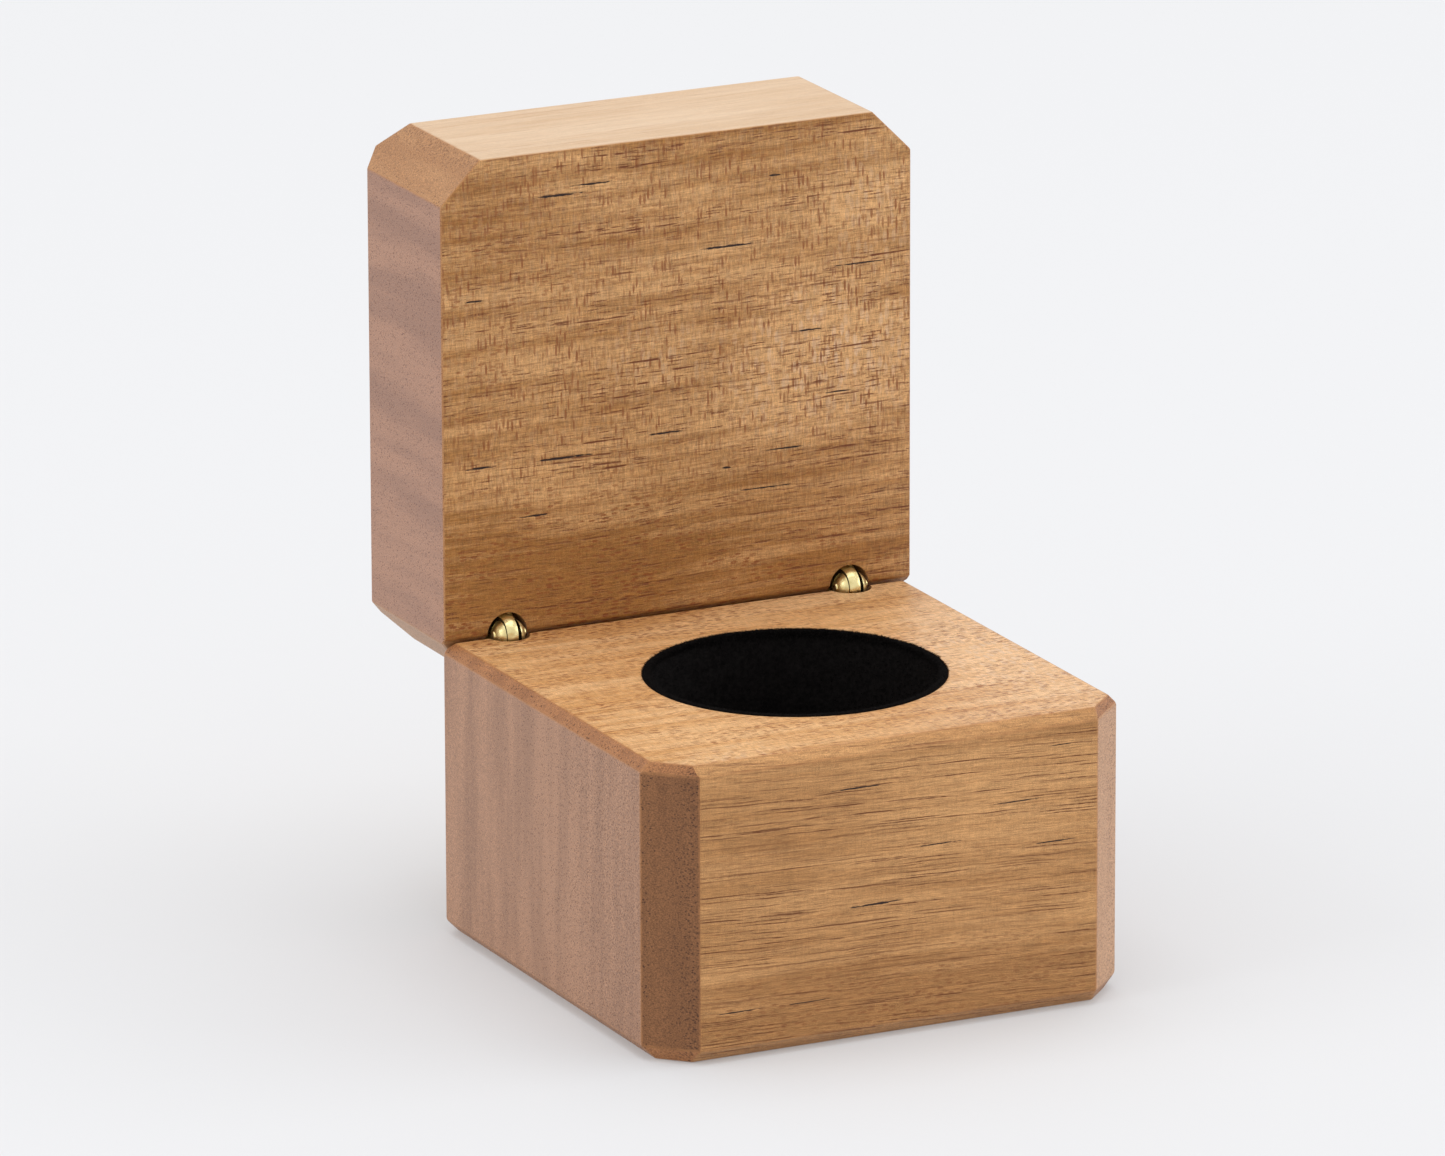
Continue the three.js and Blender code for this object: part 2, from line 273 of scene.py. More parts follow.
def makeLongGrain():
    # side grain: X runs along the fibres, Y across the face, Z into it, all in millimetres
    tree, given, out = nodeGroup("longGrain", [
        ("Vector", "NodeSocketVector", None),
        ("Pale", "NodeSocketColor", colour(0.6, 0.35, 0.16)),
        ("Deep", "NodeSocketColor", colour(0.45, 0.23, 0.09)),
        ("Line", "NodeSocketColor", colour(0.13, 0.045, 0.015)),
        ("Fleck", "NodeSocketColor", colour(0.25, 0.09, 0.035)),
        ("Glint", "NodeSocketColor", colour(0.75, 0.52, 0.34)),
        ("Lines", "NodeSocketFloat", 0.7), ("Line Cell", "NodeSocketVector", (26.0, 0.9, 1.0)),
        ("Ticks", "NodeSocketFloat", 0.5), ("Tick Cell", "NodeSocketVector", (5.0, 0.42, 1.0)),
        ("Flecks", "NodeSocketFloat", 0.5), ("Fleck Low", "NodeSocketFloat", -100.0),
        ("Glints", "NodeSocketFloat", 0.0), ("Dashes", "NodeSocketFloat", 0.0),
        ("Fibre", "NodeSocketFloat", 0.3), ("Weave", "NodeSocketFloat", 0.0),
        ("Grit", "NodeSocketFloat", 0.2),
        ("Pale Patch", "NodeSocketFloat", 0.0), ("Deep Patch", "NodeSocketFloat", 0.0),
        ("Streaks", "NodeSocketFloat", 0.0),
    ], [("Color", "NodeSocketColor"), ("Roughness", "NodeSocketFloat"), ("Height", "NodeSocketFloat")])
    at = given["Vector"]
    tone = ramp(tree, noiseAt(tree, at, (40, 1.9, 6), detail=5.0, roughness=0.65), 0.36, 0.66)
    broad = ramp(tree, noiseAt(tree, at, (26, 8, 12), detail=1.0), 0.3, 0.7)
    share = calc(tree, "MULTIPLY_ADD", tone, 0.6, calc(tree, "MULTIPLY", broad, 0.4))
    share = calc(tree, "ADD", share, given["Deep Patch"])
    share = calc(tree, "SUBTRACT", share, given["Pale Patch"], clamp=True)
    ground = mixColour(tree, share, given["Pale"], given["Deep"])
    fibre = noiseAt(tree, at, (2.2, 0.13, 0.4), detail=4.0, roughness=0.75)
    weave = noiseAt(tree, at, (0.16, 1.2, 0.4), detail=3.0, roughness=0.7)
    grit = noiseAt(tree, at, (0.11, 0.09, 0.1), detail=2.0, roughness=0.8)
    swing = calc(tree, "MULTIPLY_ADD", calc(tree, "SUBTRACT", fibre, 0.5), given["Fibre"], 0.5)
    plain = calc(tree, "SUBTRACT", 1.0, given["Deep Patch"], clamp=True)
    woven = calc(tree, "MULTIPLY", given["Weave"], plain)
    swing = calc(tree, "MULTIPLY_ADD", calc(tree, "SUBTRACT", weave, 0.5), woven, swing)
    gritty = calc(tree, "MULTIPLY_ADD", given["Deep Patch"], 0.6, given["Grit"])
    swing = calc(tree, "MULTIPLY_ADD", calc(tree, "SUBTRACT", grit, 0.5), gritty, swing)
    bright = calc(tree, "MULTIPLY", swing, 2.0)
    shaded = mixColour(tree, 1.0, ground, grey(tree, bright), "MULTIPLY")

    bunch = noiseAt(tree, at, (70, 2.8, 8), detail=3.0, offset=(3.1, 9.2, 0.0))
    bunch = ramp(tree, bunch, 0.40, 0.56, 0.40, 1.0)
    long = useGroup(tree, spindleMarks, {"Vector": at, "Cell": given["Line Cell"], "Reach": 0.20,
                                         "Ragged": 0.16, "Breaks": 0.9})["Mask"]
    short = useGroup(tree, spindleMarks, {"Vector": at, "Cell": given["Tick Cell"], "Reach": 0.25,
                                          "Shift": (3.7, 8.1, 0.0)})["Mask"]
    lines = calc(tree, "MAXIMUM", calc(tree, "MULTIPLY", long, given["Lines"]),
                 calc(tree, "MULTIPLY", short, given["Ticks"]))
    lines = calc(tree, "MULTIPLY", lines, bunch)

    bars = useGroup(tree, spindleMarks, {"Vector": at, "Cell": (0.52, 2.5, 1.0), "Reach": 0.34,
                                         "Shift": (1.3, 5.2, 0.0), "Ragged": 0.3})["Mask"]
    patches = noiseAt(tree, at, (5, 3, 8), detail=2.0, offset=(0.0, 5.5, 2.2))
    patches = ramp(tree, patches, 0.40, 0.58, 0.12, 1.0)
    across = addNode(tree, "ShaderNodeSeparateXYZ", {"Vector": at}).outputs["Y"]
    above = ramp(tree, calc(tree, "SUBTRACT", across, given["Fleck Low"]), -6.0, 8.0, 0.25, 1.0)
    flecks = calc(tree, "MULTIPLY", calc(tree, "MULTIPLY", bars, patches), above)
    glints = useGroup(tree, spindleMarks, {"Vector": at, "Cell": (0.85, 2.2, 1.0), "Reach": 0.42,
                                           "Shift": (6.3, 0.2, 0.0), "Ragged": 0.3})["Mask"]
    glints = calc(tree, "MULTIPLY", calc(tree, "MULTIPLY", glints, given["Glints"]),
                  calc(tree, "MULTIPLY_ADD", given["Pale Patch"], 0.9, 0.12), clamp=True)
    glints = calc(tree, "MULTIPLY", glints, above)
    dashes = useGroup(tree, spindleMarks, {"Vector": at, "Cell": (1.4, 0.46, 1.0), "Reach": 0.36,
                                           "Shift": (9.3, 2.2, 0.0), "Ragged": 0.3})["Mask"]
    rows = noiseAt(tree, at, (9, 2.6, 8), detail=2.0, offset=(2.2, 0.4, 6.1))
    rows = ramp(tree, rows, 0.40, 0.60, 0.25, 1.0)
    dashes = calc(tree, "MULTIPLY", dashes, rows)

    marks = calc(tree, "MAXIMUM", calc(tree, "MULTIPLY", flecks, given["Flecks"]),
                 calc(tree, "MULTIPLY", calc(tree, "MULTIPLY", dashes, given["Dashes"]),
                      calc(tree, "MULTIPLY_ADD", given["Deep Patch"], 1.8, 0.6), clamp=True))
    coloured = mixColour(tree, glints, shaded, given["Glint"])
    coloured = mixColour(tree, marks, coloured, given["Fleck"])
    coloured = mixColour(tree, lines, coloured, given["Line"])
    coloured = mixColour(tree, given["Streaks"], coloured, colour(0.028, 0.013, 0.010))
    tree.links.new(coloured, out["Color"])
    pits = calc(tree, "MAXIMUM", calc(tree, "MULTIPLY_ADD", marks, 0.35, lines), given["Streaks"])
    tree.links.new(calc(tree, "MULTIPLY_ADD", pits, 0.16, calc(tree, "MULTIPLY_ADD", tone, 0.05, 0.38)),
                   out["Roughness"])
    tree.links.new(calc(tree, "SUBTRACT", calc(tree, "MULTIPLY", fibre, 0.7), pits), out["Height"])
    return tree


def makeEndGrain():
    # end grain: X runs along the fibres, Y and Z across them, and the rings lie across Y
    tree, given, out = nodeGroup("endGrain", [
        ("Vector", "NodeSocketVector", None),
        ("Ground", "NodeSocketColor", colour(0.34, 0.16, 0.08)),
        ("Band", "NodeSocketColor", colour(0.25, 0.11, 0.05)),
        ("Pore", "NodeSocketColor", colour(0.08, 0.03, 0.015)),
        ("Bands", "NodeSocketFloat", 0.5), ("Band Width", "NodeSocketFloat", 3.5),
        ("Pores", "NodeSocketFloat", 0.5), ("Speckle", "NodeSocketFloat", 0.5),
    ], [("Color", "NodeSocketColor"), ("Roughness", "NodeSocketFloat"), ("Height", "NodeSocketFloat")])
    at = given["Vector"]
    stretch = addNode(tree, "ShaderNodeCombineXYZ", {
        "X": 0.02, "Y": calc(tree, "DIVIDE", 1.0, given["Band Width"]), "Z": 0.03}).outputs[0]
    laid = vecMath(tree, "MULTIPLY", at, stretch)
    rings = ramp(tree, noiseAt(tree, laid, (1, 1, 1), detail=3.0, roughness=0.55), 0.36, 0.66)
    ground = mixColour(tree, calc(tree, "MULTIPLY", rings, given["Bands"]), given["Ground"], given["Band"])
    scaled = vecMath(tree, "DIVIDE", at, (6.0, 0.30, 0.30))
    cells = addNode(tree, "ShaderNodeTexVoronoi", {"Vector": scaled, "Scale": 1.0, "Randomness": 1.0})
    dots = ramp(tree, cells.outputs["Distance"], 0.42, 0.22)
    some = ramp(tree, addNode(tree, "ShaderNodeSeparateColor", {"Color": cells.outputs["Color"]}).outputs[0],
                0.1, 0.9)
    pores = calc(tree, "MULTIPLY", calc(tree, "MULTIPLY", dots, some), given["Pores"])
    fine = noiseAt(tree, at, (3, 0.13, 0.13), detail=2.0, roughness=0.7)
    bright = calc(tree, "MULTIPLY_ADD", calc(tree, "SUBTRACT", fine, 0.5), given["Speckle"], 1.0)
    shaded = mixColour(tree, 1.0, ground, grey(tree, bright), "MULTIPLY")
    tree.links.new(mixColour(tree, pores, shaded, given["Pore"]), out["Color"])
    tree.links.new(calc(tree, "MULTIPLY_ADD", pores, 0.2, 0.40), out["Roughness"])
    tree.links.new(calc(tree, "SUBTRACT", calc(tree, "MULTIPLY", fine, 0.6), pores), out["Height"])
    return tree


def makePlacedMark():
    # one mark at a chosen place: a long open pore, or a soft patch where Ragged is 0 and Soft is large
    tree, given, out = nodeGroup("placedMark", [
        ("Vector", "NodeSocketVector", None), ("Centre", "NodeSocketVector", (0.0, 0.0, 0.0)),
        ("Size", "NodeSocketVector", (5.0, 0.2, 1.0)), ("Ragged", "NodeSocketFloat", 1.6),
        ("Soft", "NodeSocketFloat", 0.4), ("Strength", "NodeSocketFloat", 1.0),
        ("Before", "NodeSocketFloat", 0.0),
    ], [("Mask", "NodeSocketFloat")])
    away = vecMath(tree, "SUBTRACT", given["Vector"], given["Centre"])
    flat = vecMath(tree, "MULTIPLY", vecMath(tree, "DIVIDE", away, given["Size"]), (1.0, 1.0, 0.0))
    ragged = calc(tree, "SUBTRACT", noiseAt(tree, given["Vector"], (0.9, 0.2, 1.0), detail=2.0), 0.5)
    reach = calc(tree, "MULTIPLY_ADD", ragged, given["Ragged"], vecMath(tree, "LENGTH", flat))
    inside = calc(tree, "DIVIDE", calc(tree, "SUBTRACT", 1.0, reach), given["Soft"])
    mark = calc(tree, "MULTIPLY", ramp(tree, inside, 0.0, 1.0), given["Strength"])
    tree.links.new(calc(tree, "MAXIMUM", mark, given["Before"]), out["Mask"])
    return tree


def makeArris():
    # a worn edge: the rubbed corner is a little warmer than the face beside it
    tree, given, out = nodeGroup("arris", [
        ("Color", "NodeSocketColor", colour(0.5, 0.5, 0.5)),
        ("Worn", "NodeSocketColor", colour(0.5, 0.2, 0.06)),
        ("Amount", "NodeSocketFloat", 0.5), ("Vector", "NodeSocketVector", None),
    ], [("Color", "NodeSocketColor")])
    edge = addNode(tree, "ShaderNodeAttribute", attribute_name="arris").outputs["Fac"]
    uneven = ramp(tree, noiseAt(tree, given["Vector"], (3.0, 2.0, 2.0), detail=2.0), 0.3, 0.7, 0.4, 1.0)
    share = calc(tree, "MULTIPLY", calc(tree, "MULTIPLY", edge, given["Amount"]), uneven, clamp=True)
    tree.links.new(mixColour(tree, share, given["Color"], given["Worn"]), out["Color"])
    return tree


grainSpace = makeGrainSpace()
spindleMarks = makeSpindleMarks()
placedMark = makePlacedMark()
longGrain = makeLongGrain()
endGrain = makeEndGrain()
arris = makeArris()

# How each face is cut. "turn" lays object axes along the grain, across the face and into it.
faceTurns = {"upright": (-90, 0, 0), "level": (0, 0, 0), "end": (0, 0, 0), "endUpright": (-90, 0, 0)}

woodLooks = {
    "lidFace": {
        "cut": "long", "turn": "upright", "tilt": 0.6, "slowWave": 1.6, "smallWave": 0.25,
        "values": {
            "Pale": colour(0.62, 0.350, 0.150), "Deep": colour(0.32, 0.143, 0.038),
            "Line": colour(0.15, 0.042, 0.014), "Fleck": colour(0.25, 0.080, 0.022),
            "Lines": 1.0, "Line Cell": (34.0, 0.70, 1.0), "Ticks": 0.9, "Tick Cell": (5.0, 0.36, 1.0),
            "Flecks": 1.0, "Fleck Low": 50.0, "Glints": 0.8, "Dashes": 0.9, "Fibre": 0.85, "Weave": 0.75,
            "Grit": 0.50,
        },
        "pale": [  # along, up, half width, half height, strength; these paler patches are painted sheen on the lid face
            (19.0, 63.0, 19.0, 12.0, 0.9), (-2.0, 66.0, 12.0, 6.0, 0.35), (26.0, 80.0, 10.0, 12.0, 0.4),
        ],
        "deep": [
            (-16.0, 37.0, 44.0, 19.0, 0.75), (8.0, 34.0, 34.0, 13.0, 0.6), (-26.0, 76.0, 14.0, 20.0, 0.25),
        ],
        "pores": {"count": 15, "along": (-26.0, 26.0), "up": (46.0, 89.0), "length": (1.5, 9.0),
                  "thickness": (0.20, 0.34), "seed": 5},
    },
    "lidBack": {
        "cut": "long", "turn": "upright", "tilt": -0.8, "slowWave": 1.8, "smallWave": 0.25,
        "values": {
            "Pale": colour(0.60, 0.360, 0.170), "Deep": colour(0.42, 0.205, 0.075),
            "Line": colour(0.17, 0.052, 0.016), "Fleck": colour(0.27, 0.09, 0.028),
            "Lines": 0.9, "Line Cell": (60.0, 0.75, 1.0), "Ticks": 0.9, "Tick Cell": (8.0, 0.36, 1.0),
            "Flecks": 0.35, "Dashes": 0.6, "Fibre": 0.70, "Weave": 0.4, "Grit": 0.55,
        },
        "deep": [(-10.0, 40.0, 30.0, 9.0, 0.5)],
        "pale": [(12.0, 70.0, 24.0, 12.0, 0.5)],
    },
    # the lid's edges are pale partly from the wood's own tone and partly from painted sheen of the overhead
    # lamp, so shut, the lid's front edge looks paler than the base front below it
    "lidEdgeWithPaintedSheen": {
        "cut": "long", "turn": "level", "tilt": 1.0, "slowWave": 1.0, "smallWave": 0.10,
        "values": {
            "Pale": colour(0.66, 0.475, 0.31), "Deep": colour(0.58, 0.385, 0.225),
            "Line": colour(0.36, 0.16, 0.07), "Fleck": colour(0.42, 0.20, 0.10),
            "Lines": 0.35, "Line Cell": (60.0, 0.8, 1.0), "Ticks": 0.3, "Tick Cell": (12.0, 0.4, 1.0),
            "Flecks": 0.0, "Dashes": 0.12, "Fibre": 0.30, "Grit": 0.25,
        },
    },
    "lidEnd": {
        "cut": "end", "turn": "endUpright", "tilt": 0.0, "slowWave": 2.0, "smallWave": 0.2,
        "values": {
            "Ground": colour(0.40, 0.215, 0.140), "Band": colour(0.28, 0.150, 0.104),
            "Pore": colour(0.10, 0.045, 0.035), "Bands": 0.7, "Band Width": 4.5, "Pores": 0.6, "Speckle": 2.3,
        },
    },
    "lidCorner": {
        "cut": "end", "turn": "endUpright", "tilt": 0.0, "slowWave": 2.0, "smallWave": 0.2,
        "values": {
            "Ground": colour(0.45, 0.235, 0.105), "Band": colour(0.31, 0.138, 0.055),
            "Pore": colour(0.09, 0.03, 0.015), "Bands": 0.6, "Band Width": 4.0, "Pores": 0.6, "Speckle": 2.2,
        },
    },
    "baseTop": {
        "cut": "long", "turn": "level", "tilt": -1.0, "slowWave": 1.2, "smallWave": 0.25,
        "values": {
            "Pale": colour(0.72, 0.440, 0.218), "Deep": colour(0.55, 0.277, 0.100),
            "Glint": colour(0.72, 0.52, 0.36), "Glints": 0.7,
            "Line": colour(0.22, 0.065, 0.018), "Fleck": colour(0.22, 0.06, 0.016),
            "Lines": 0.7, "Line Cell": (20.0, 0.9, 1.0), "Ticks": 0.9, "Tick Cell": (3.5, 0.40, 1.0),
            "Flecks": 0.0, "Dashes": 1.5, "Fibre": 0.75, "Weave": 0.5, "Grit": 0.7,
        },
        # the first paler patch, on the right of the top, is painted reflection of the bright surroundings
        "pale": [(27.0, -8.0, 16.0, 30.0, 0.9), (-20.0, -28.0, 10.0, 5.0, 0.5)],
        "deep": [(-12.0, 24.0, 30.0, 6.0, 0.5)],
    },
    "baseFront": {
        "cut": "long", "turn": "upright", "tilt": -2.2, "slowWave": 1.3, "smallWave": 0.28,
        "values": {
            "Pale": colour(0.56, 0.298, 0.120), "Deep": colour(0.37, 0.176, 0.060),
            "Line": colour(0.145, 0.047, 0.014), "Fleck": colour(0.24, 0.09, 0.030),
            "Lines": 1.0, "Line Cell": (95.0, 0.50, 1.0), "Ticks": 1.0, "Tick Cell": (20.0, 0.34, 1.0),
            "Flecks": 0.0, "Dashes": 0.5, "Fibre": 0.95, "Weave": 0.3, "Grit": 0.95,
        },
        "deep": [(0.0, 4.0, 60.0, 9.0, 0.8)],
        "pale": [(10.0, 28.0, 40.0, 8.0, 0.3)],
        "pores": {"count": 8, "along": (-22.0, 22.0), "up": (5.0, 33.0), "length": (3.5, 9.0),
                  "thickness": (0.12, 0.32), "seed": 2},
    },
    "baseEnd": {
        "cut": "end", "turn": "end", "tilt": 4.0, "slowWave": 2.0, "smallWave": 0.2,
        "values": {
            "Ground": colour(0.40, 0.216, 0.130), "Band": colour(0.28, 0.148, 0.090),
            "Pore": colour(0.10, 0.045, 0.03), "Bands": 0.7, "Band Width": 3.2, "Pores": 0.6, "Speckle": 2.3,
        },
    },
    # the same end grain as baseCorner, painted lighter: painted sheen of the right-hand lamp on the
    # front-right bevels
    "baseCornerPaintedSheen": {
        "cut": "end", "turn": "end", "tilt": 0.0, "slowWave": 2.0, "smallWave": 0.2,
        "values": {
            "Ground": colour(0.50, 0.28, 0.155), "Band": colour(0.40, 0.21, 0.11),
            "Pore": colour(0.12, 0.05, 0.03), "Bands": 0.6, "Band Width": 3.0, "Pores": 0.6, "Speckle": 2.2,
        },
    },
    "baseCorner": {
        "cut": "end", "turn": "end", "tilt": 0.0, "slowWave": 2.0, "smallWave": 0.2,
        "values": {
            "Ground": colour(0.225, 0.098, 0.040), "Band": colour(0.165, 0.068, 0.027),
            "Pore": colour(0.05, 0.018, 0.010), "Bands": 0.6, "Band Width": 3.0, "Pores": 0.8, "Speckle": 2.2,
        },
    },
    "baseChamfer": {
        "cut": "end", "turn": "end", "tilt": 0.0, "slowWave": 2.0, "smallWave": 0.2,
        "values": {
            "Ground": colour(0.36, 0.155, 0.060), "Band": colour(0.24, 0.095, 0.036),
            "Pore": colour(0.06, 0.020, 0.010), "Bands": 0.6, "Band Width": 3.0, "Pores": 0.8, "Speckle": 2.6,
        },
    },
}
woodBump = {"strength": 0.5, "depth": 0.07 * mm}
woodSheen = {"ior": 1.48, "specular": 0.28}
wornColour = colour(0.42, 0.19, 0.07)


def strewnPores(rule):
    # a few long open pores, each with its place along and up the face, length and thickness in millimetres
    draw = Random(rule["seed"])
    return [tuple(draw.uniform(*rule[part]) for part in ("along", "up", "length", "thickness"))
            for _ in range(rule["count"])]


def makeWood(name, look):
    material, tree, shader = newMaterial(name)
    coords = tree.nodes.new("ShaderNodeTexCoord").outputs["Object"]
    turned = addNode(tree, "ShaderNodeMapping", {
        "Vector": coords, "Scale": (1000.0, 1000.0, 1000.0),
        "Rotation": Euler([radians(a) for a in faceTurns[look["turn"]]])}).outputs[0]
    tilted = addNode(tree, "ShaderNodeMapping", {
        "Vector": turned, "Rotation": Euler((0.0, 0.0, radians(-look["tilt"])))}).outputs[0]
    at = useGroup(tree, grainSpace, {"Vector": tilted, "Slow Wave": look["slowWave"],
                                     "Small Wave": look["smallWave"]})["Vector"]
    values = dict(look["values"])
    if "pores" in look:
        values["Streaks"] = 0.0
        for along, up, length, thickness in strewnPores(look["pores"]):
            values["Streaks"] = useGroup(tree, placedMark, {
                "Vector": turned, "Centre": (along, up, 0.0), "Size": (length / 2, thickness / 2, 1.0),
                "Before": values["Streaks"]})["Mask"]
    # pale patches lighten the ground and call up more glints; on the lid face and the right of the base top
    # they are painted sheen
    for kind in ("pale", "deep"):
        for along, up, wide, high, strength in look.get(kind, []):
            patch = f"{kind.capitalize()} Patch"
            values[patch] = useGroup(tree, placedMark, {
                "Vector": turned, "Centre": (along, up, 0.0), "Size": (wide, high, 1.0), "Ragged": 0.5,
                "Soft": 1.0, "Strength": strength, "Before": values.get(patch, 0.0)})["Mask"]
    made = useGroup(tree, longGrain if look["cut"] == "long" else endGrain, {"Vector": at, **values})
    worn = useGroup(tree, arris, {"Color": made["Color"], "Worn": wornColour, "Vector": turned})
    bump = addNode(tree, "ShaderNodeBump", {"Height": made["Height"], "Strength": woodBump["strength"],
                                            "Distance": woodBump["depth"]})
    for socket, value in (("Base Color", worn["Color"]), ("Roughness", made["Roughness"]),
                          ("Normal", bump.outputs["Normal"])):
        tree.links.new(value, shader.inputs[socket])
    shader.inputs["IOR"].default_value = woodSheen["ior"]
    shader.inputs["Specular IOR Level"].default_value = woodSheen["specular"]
    return material


woods = {name: makeWood(name, look) for name, look in woodLooks.items()}
print("wood finishes made:", len(woods))


blockEasing = {
    "outer": 0.24 * mm,  # how far the outer edges are rubbed down
    "bore": 0.35,  # share of that on the rims of the bored holes
    "segments": 4,
    "sharpest": radians(25),
    "boreReach": 0.2 * mm,
}
boreFit = {"lining": 0.3, "barrel": 0.2}  # millimetres between a bore and what stands in it
facing = {"straight": 0.9, "aslant": 0.4, "mitre": 0.6}  # least share of a face's normal along an axis


def boreRound(nodeName, clearance):
    low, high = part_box(nodeName)  # a piece that stands in a bore gives the bore's axis and radius
    return (low + high) / 2, (high.x - low.x) / 2 + clearance * mm


def easedBlock(nodeName, pieceName, isBore, finishFor, finishes):
    source = frame["nodes"][nodeName]
    shape = bmesh.new()
    shape.from_mesh(source.data)
    bmesh.ops.remove_doubles(shape, verts=shape.verts, dist=1e-6)
    bmesh.ops.dissolve_limit(shape, angle_limit=radians(1.0), verts=shape.verts, edges=shape.edges)
    weight = shape.edges.layers.float.new("bevel_weight_edge")
    for edge in shape.edges:
        if len(edge.link_faces) == 2 and edge.calc_face_angle() > blockEasing["sharpest"]:
            middle = (edge.verts[0].co + edge.verts[1].co) / 2
            edge[weight] = blockEasing["bore"] if isBore(middle) else 1.0
    mesh = bpy.data.meshes.new(pieceName)
    shape.to_mesh(mesh)
    shape.free()
    piece = newPiece(pieceName, mesh, *[woods[name] for name in finishes])
    eased = len(finishes)
    mesh.materials.append(woods[finishes[0]])
    bevel = piece.modifiers.new("easing", "BEVEL")
    bevel.limit_method, bevel.width, bevel.segments = "WEIGHT", blockEasing["outer"], blockEasing["segments"]
    bevel.use_clamp_overlap = False
    bevel.material = eased
    baked = plainMesh(piece)
    piece.modifiers.remove(bevel)
    piece.data = baked

    shape = bmesh.new()
    shape.from_mesh(baked)
    rubbed = shape.verts.layers.float.new("arris")
    strips = {face.index for face in shape.faces if face.material_index == eased}
    for vert in shape.verts:
        inside = all(face.index in strips for face in vert.link_faces)
        vert[rubbed] = 1.0 if inside and not isBore(vert.co) else 0.0
    for face in shape.faces:
        face.material_index = finishes.index(finishFor(face.normal))
        face.smooth = True
    shape.to_mesh(baked)
    shape.free()
    baked.materials.pop(index=eased)
    weighted = piece.modifiers.new("evenShading", "WEIGHTED_NORMAL")
    weighted.weight = 50
    weighted.keep_sharp = True
    return piece


sides = ("left", "right")
baseBores = [boreRound("flock_lining", boreFit["lining"])]
baseBores += [boreRound(f"hinge_base_barrel_{side}", boreFit["barrel"]) for side in sides]
lidBores = [boreRound(f"hinge_lid_barrel_{side}", boreFit["barrel"]) for side in sides]


def inBaseBore(point):
    return any((point.xy - axis.xy).length < radius + blockEasing["boreReach"] for axis, radius in baseBores)


def inLidBore(point):
    return any((point.xz - axis.xz).length < radius + blockEasing["boreReach"] for axis, radius in lidBores)


def baseFinish(normal):
    if abs(normal.x) > facing["straight"]:
        return "baseEnd"
    if abs(normal.x) > facing["aslant"] and abs(normal.z) > facing["aslant"]:
        return "baseChamfer"
    if abs(normal.x) > facing["aslant"]:
        # front-right bevels take the copy painted lighter as sheen of the right-hand lamp
        return "baseCornerPaintedSheen" if normal.x > 0 and abs(normal.y) > facing["aslant"] else "baseCorner"
    return "baseTop" if normal.z > facing["straight"] else "baseFront"


def lidFinish(normal):
    if abs(normal.x) > facing["straight"]:
        return "lidEnd"
    if abs(normal.x) > facing["aslant"]:
        return "lidCorner"
    if normal.y < -facing["mitre"]:
        return "lidFace"
    return "lidBack" if normal.y > facing["straight"] else "lidEdgeWithPaintedSheen"


baseWood = easedBlock("base_block", "baseWood", inBaseBore, baseFinish,
                      ["baseTop", "baseFront", "baseEnd", "baseCorner", "baseCornerPaintedSheen", "baseChamfer"])
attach(baseWood, "base")
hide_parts("base_block")

lidWood = easedBlock("lid_block", "lidWood", inLidBore, lidFinish,
                     ["lidFace", "lidBack", "lidEdgeWithPaintedSheen", "lidEnd", "lidCorner"])
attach(lidWood, "lid")
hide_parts("lid_block")
print("blocks eased:", len(baseWood.data.polygons), len(lidWood.data.polygons), "faces")


flockCoat = {
    "toWall": 0.05 * mm,  # between the coat and the wood
    "thickness": 0.55 * mm,
    "belowRim": -0.02 * mm,
    "rimRound": 0.22 * mm,
    "backBelow": 0.25 * mm,  # how far its back reaches below the lining's underside
    "segments": 240,
    "rows": 40,
    "roundSteps": 6,
    "floorRings": 12,
    "unevenness": 0.26 * mm,
    "lumpSize": 1.6 * mm,
    "specular": 0.1,
    "colour": colour(0.0075, 0.0062, 0.0060),
    "fibreLength": 0.62 * mm,
    "fibreThickness": 0.10 * mm,
    "rimDensity": 300e6,  # fibres for each square metre
    "wallDensity": 5e6,
    "rimBand": 0.45 * mm,
    "bareBack": 0.12 * mm,  # no fibres grow this near to the coat's back
    "trimBelow": 0.1 * mm,  # the brushing down starts this far below the rim
    "pileTop": 35.29 * mm,
    "overWood": 0.12 * mm,  # the least height at which a fibre may lean out over the wood
    "lean": 0.8,
    "seed": 7,
}


def makeFlockFinish(look):
    material, tree, shader = newMaterial("blackFlock")
    coords = tree.nodes.new("ShaderNodeTexCoord").outputs["Object"]
    at = vecMath(tree, "MULTIPLY", coords, (1000.0, 1000.0, 1000.0))
    lumps = noiseAt(tree, at, (0.5, 0.5, 0.5), detail=3.0, roughness=0.7)
    level = ramp(tree, lumps, 0.3, 0.7, 0.55, 1.5)
    shade = mixColour(tree, 1.0, look["colour"], grey(tree, level), "MULTIPLY")
    tree.links.new(shade, shader.inputs["Base Color"])
    bump = addNode(tree, "ShaderNodeBump", {"Height": noiseAt(tree, at, (0.09, 0.09, 0.09), detail=2.0),
                                            "Strength": 0.8, "Distance": 0.0001})
    tree.links.new(bump.outputs["Normal"], shader.inputs["Normal"])
    shader.inputs["Roughness"].default_value = 1.0
    shader.inputs["Specular IOR Level"].default_value = look["specular"]
    return material


